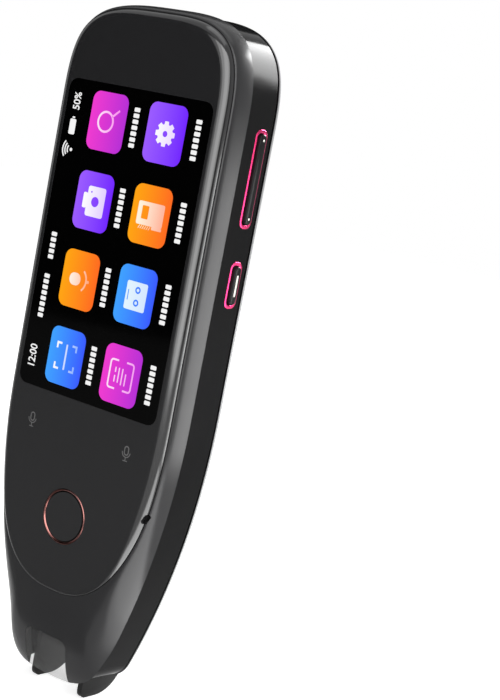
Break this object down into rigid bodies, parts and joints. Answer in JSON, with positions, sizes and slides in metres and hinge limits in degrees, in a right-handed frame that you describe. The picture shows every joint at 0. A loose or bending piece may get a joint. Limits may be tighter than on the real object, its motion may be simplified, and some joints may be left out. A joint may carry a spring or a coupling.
{
  "type": "handheld translator",
  "caption": "Slim pen-shaped translator with a tall touch screen, home key, side keys, rear camera and speaker, and a spring-loaded scanning foot at its tapered tip.",
  "frame": {"origin": "middle of the body's depth, level with the home key's centre, where a hand grips the pen", "axes": "+Z from the scanning tip up to the rounded top, -Y out of the screen, +X out of the side with the volume and power keys"},
  "size_m": [0.0471, 0.0196, 0.1449],
  "materials": {
    "housing": "satin",
    "panel": "gloss",
    "nose_glass": "gloss",
    "band": "matte",
    "cover": "metallic gloss",
    "screen": "gloss",
    "foam": "matte",
    "polyimide": "satin",
    "camera_ring": "anodised",
    "camera_glass": "gloss",
    "lens": "coated",
    "black_plastic": "matte",
    "steel": "plated",
    "board": "lacquered",
    "chip": "matte",
    "gold": "plated",
    "cell": "foil",
    "white_plastic": "satin",
    "lead": "satin",
    "trim": "anodised",
    "ring": "polished",
    "key": "satin",
    "foot": "satin"
  },
  "bodies": {
    "pen": {"front_housing": "housing", "front_panel": "panel", "nose_window": "nose_glass", "mid_frame": "band", "back_cover": "cover", "display_module": "screen", "display_pad": "foam", "display_flex": "polyimide", "camera_ring": "camera_ring", "camera_window": "camera_glass", "camera_baffle": "black_plastic", "camera_lens": "lens", "camera_module": "black_plastic", "speaker_mesh": "steel", "speaker_gasket": "foam", "speaker": "black_plastic", "usb_shell": "steel", "usb_tongue": "black_plastic", "volume_trim": "trim", "power_trim": "trim", "home_ring": "ring", "main_board": "board", "processor": "chip", "memory_chip": "chip", "shield_can": "steel", "antenna": "gold", "battery": "cell", "battery_pad": "foam", "battery_lead": "lead", "battery_plug": "white_plastic", "key_board": "board", "volume_switches": "steel", "power_switch": "steel", "home_switch": "steel", "microphones": "steel", "housing_screws": "steel", "board_screws": "steel", "scan_camera": "black_plastic", "scan_lens": "lens", "scan_lamp_board": "white_plastic", "scan_lamps": "white_plastic", "scan_board": "board", "tip_switch": "black_plastic", "guide_pins": "steel", "foot_springs": "steel", "rocker_pin": "steel"},
    "rocker": {"volume_rocker": "key"},
    "power_key": {"power_button": "key"},
    "home_key": {"home_button": "key"},
    "foot": {"scan_foot": "foot"},
    "plunger": {"tip_plunger": "white_plastic"}
  },
  "joints": [
    {"name": "volume_rock", "type": "hinge", "parent": "pen", "child": "rocker", "pos_m": [0.0198, 0.00195, 0.076], "axis": [0, 1, 0], "range_deg": [-0.9, 0.9], "stiffness_Nm_per_rad": 0.6},
    {"name": "power_press", "type": "slide", "parent": "pen", "child": "power_key", "axis": [-1, 0, 0], "range_m": [0, 0.0003], "stiffness_N_per_m": 4000, "springref_m": -0.0001},
    {"name": "home_press", "type": "slide", "parent": "pen", "child": "home_key", "axis": [0, 1, 0], "range_m": [0, 0.00035], "stiffness_N_per_m": 4000, "springref_m": -0.0001},
    {"name": "foot_press", "type": "slide", "parent": "pen", "child": "foot", "axis": [0, 0, 1], "range_m": [0, 0.001], "stiffness_N_per_m": 400, "springref_m": -0.001, "deforming": ["foot_springs"]},
    {"name": "plunger_press", "type": "slide", "parent": "pen", "child": "plunger", "axis": [0, 0, 1], "range_m": [0, 0.001]}
  ],
  "couplings": [
    {"joint": "plunger_press", "follows": "foot_press", "ratio": 1}
  ]
}
